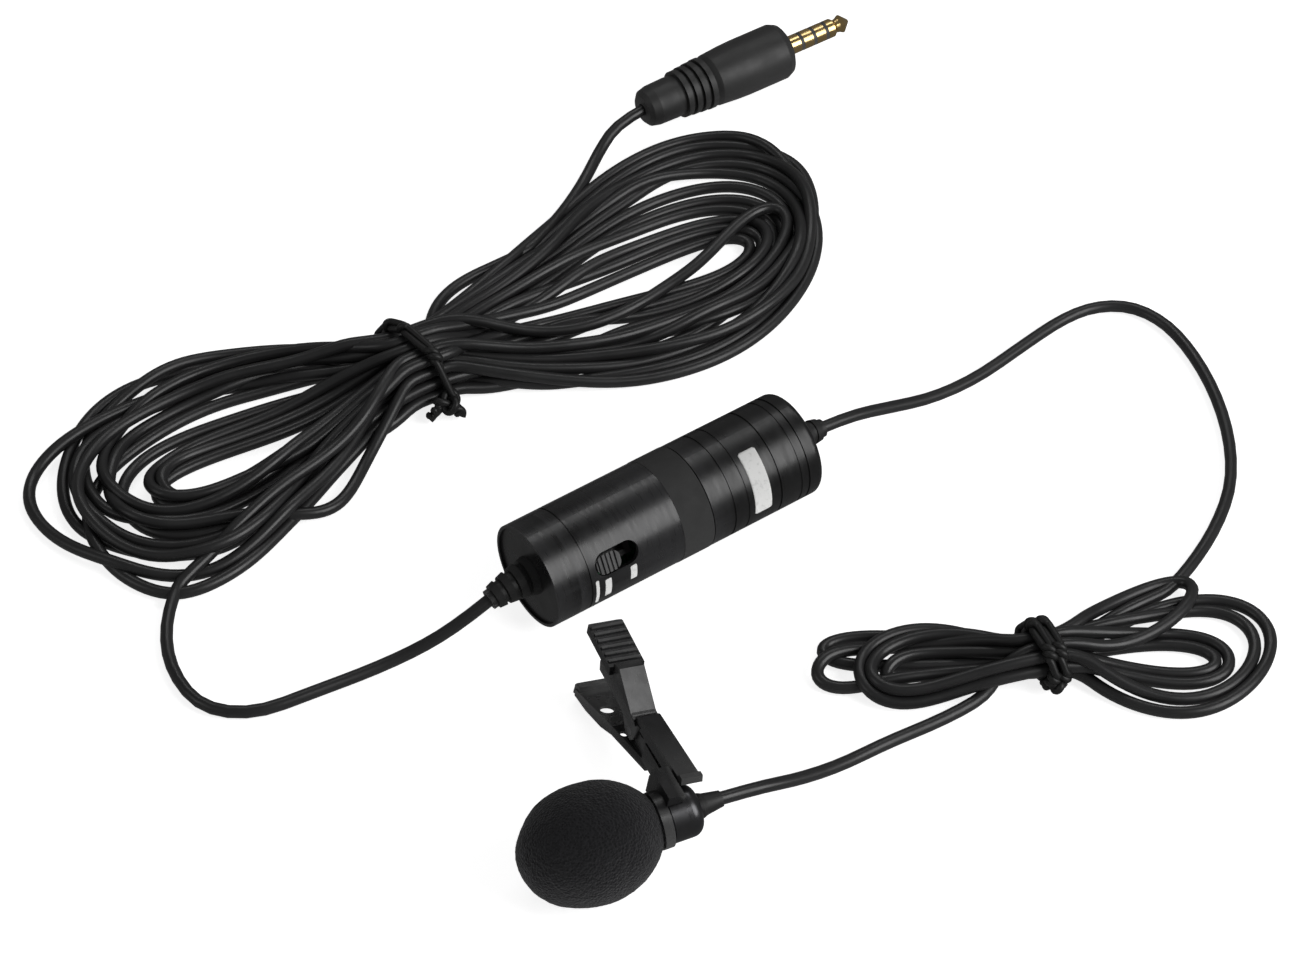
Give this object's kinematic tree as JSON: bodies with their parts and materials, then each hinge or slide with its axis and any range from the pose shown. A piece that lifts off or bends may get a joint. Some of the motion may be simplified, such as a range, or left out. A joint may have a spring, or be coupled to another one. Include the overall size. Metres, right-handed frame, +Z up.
{
  "type": "lavalier microphone",
  "caption": "Clip-on lavalier microphone with foam windscreen, tie clip, in-line battery pack with slide switch, tied cables and a jack plug.",
  "frame": {"origin": "on the resting surface, under the middle of the box round the microphone, its clip and the battery pack, without the cables and the plug", "axes": "+Z up from the resting surface; +Y runs from the microphone towards the battery pack; +X to the side where the battery cap and the short hank lie"},
  "size_m": [0.2027, 0.2044, 0.0183],
  "materials": {
    "foam": "open-cell foam, fine grain, no gloss",
    "capsule_metal": "black anodised, satin",
    "grille_metal": "black anodised, perforated",
    "element_metal": "plain",
    "rubber_black": "matt moulded rubber",
    "cable_jacket": "satin extruded jacket",
    "tie_jacket": "satin twist tie",
    "clip_plastic": "moulded, half gloss",
    "pin_steel": "plain drawn wire",
    "pack_shell": "black, turned finish, half gloss",
    "pack_cap": "black, turned finish, half gloss",
    "inner_plastic": "plain moulding",
    "band_matt": "fine matt texture",
    "switch_plastic": "ribbed, matt",
    "board": "solder mask",
    "components": "moulded packages",
    "cell_steel": "plated steel can",
    "contact_metal": "plated spring contact",
    "plug_rubber": "matt moulded rubber",
    "gold_plate": "gold plated",
    "insulator_black": "insulating ring",
    "mesh": "acoustic mesh"
  },
  "bodies": {
    "base": {"mic_grille": "grille_metal", "mic_capsule_tube": "capsule_metal", "mic_mesh_disc": "mesh", "element_gasket": "rubber_black", "electret_element": "element_metal", "element_board": "board", "mic_rear_cap": "capsule_metal", "mic_strain_relief": "rubber_black", "pack_end_cap": "pack_shell", "pack_main_tube": "pack_shell", "pack_coupler": "inner_plastic", "grip_band": "band_matt", "battery_holder": "inner_plastic", "battery_cell": "cell_steel", "battery_spring_contact": "contact_metal", "battery_plate_contact": "contact_metal", "switch_body": "inner_plastic", "circuit_board": "board", "board_components": "components", "pack_relief_plug_side": "rubber_black", "pack_relief_mic_side": "rubber_black", "plug_handle": "plug_rubber", "plug_core": "inner_plastic", "plug_sleeve_contact": "gold_plate", "plug_ring_two_contact": "gold_plate", "plug_ring_one_contact": "gold_plate", "plug_tip_contact": "gold_plate", "plug_insulators": "insulator_black", "mic_lead": "cable_jacket", "pack_lead_mic_side": "cable_jacket", "pack_lead_plug_side": "cable_jacket", "plug_lead": "cable_jacket", "long_hank": "cable_jacket", "short_hank": "cable_jacket", "long_hank_tie": "tie_jacket", "short_hank_tie": "tie_jacket"},
    "foam": {"foam_windscreen": "foam"},
    "clip": {"clip_ring": "clip_plastic", "clip_lower_lever": "clip_plastic", "clip_hinge_pin": "pin_steel", "clip_torsion_spring": "pin_steel"},
    "clip_lever": {"clip_upper_lever": "clip_plastic"},
    "cap_slider": {"cap_seal": "rubber_black"},
    "screw_cap": {"battery_cap": "pack_cap"},
    "switch": {"switch_knob": "switch_plastic"}
  },
  "joints": [
    {"name": "foam_pull_off", "type": "slide", "parent": "base", "child": "foam", "axis": [-0.9135, -0.4067, 0], "range_m": [0, 0.014]},
    {"name": "clip_swivel", "type": "hinge", "parent": "base", "child": "clip", "pos_m": [-0.01025, -0.0407, 0.00917], "axis": [0.9135, 0.4067, 0], "continuous": true},
    {"name": "clip_squeeze", "type": "hinge", "parent": "clip", "child": "clip_lever", "pos_m": [-0.00275, -0.01746, 0.00831], "axis": [-0.8976, -0.3889, 0.2077], "range_deg": [0, 18], "stiffness_Nm_per_rad": 0.01, "springref_deg": -20.05},
    {"name": "battery_cap_travel", "type": "slide", "parent": "base", "child": "cap_slider", "axis": [0.8221, 0.5693, 0], "range_m": [0, 0.00451]},
    {"name": "battery_cap_turn", "type": "hinge", "parent": "cap_slider", "child": "screw_cap", "pos_m": [-0.0207, 0.0136, 0.009], "axis": [0.8221, 0.5693, 0], "range_deg": [0, 1080]},
    {"name": "switch_slide", "type": "slide", "parent": "base", "child": "switch", "axis": [0.8221, 0.5693, 0], "range_m": [0, 0.0032]}
  ],
  "couplings": [
    {"joint": "battery_cap_travel", "follows": "battery_cap_turn", "m_per_rad": 0.00023873}
  ]
}
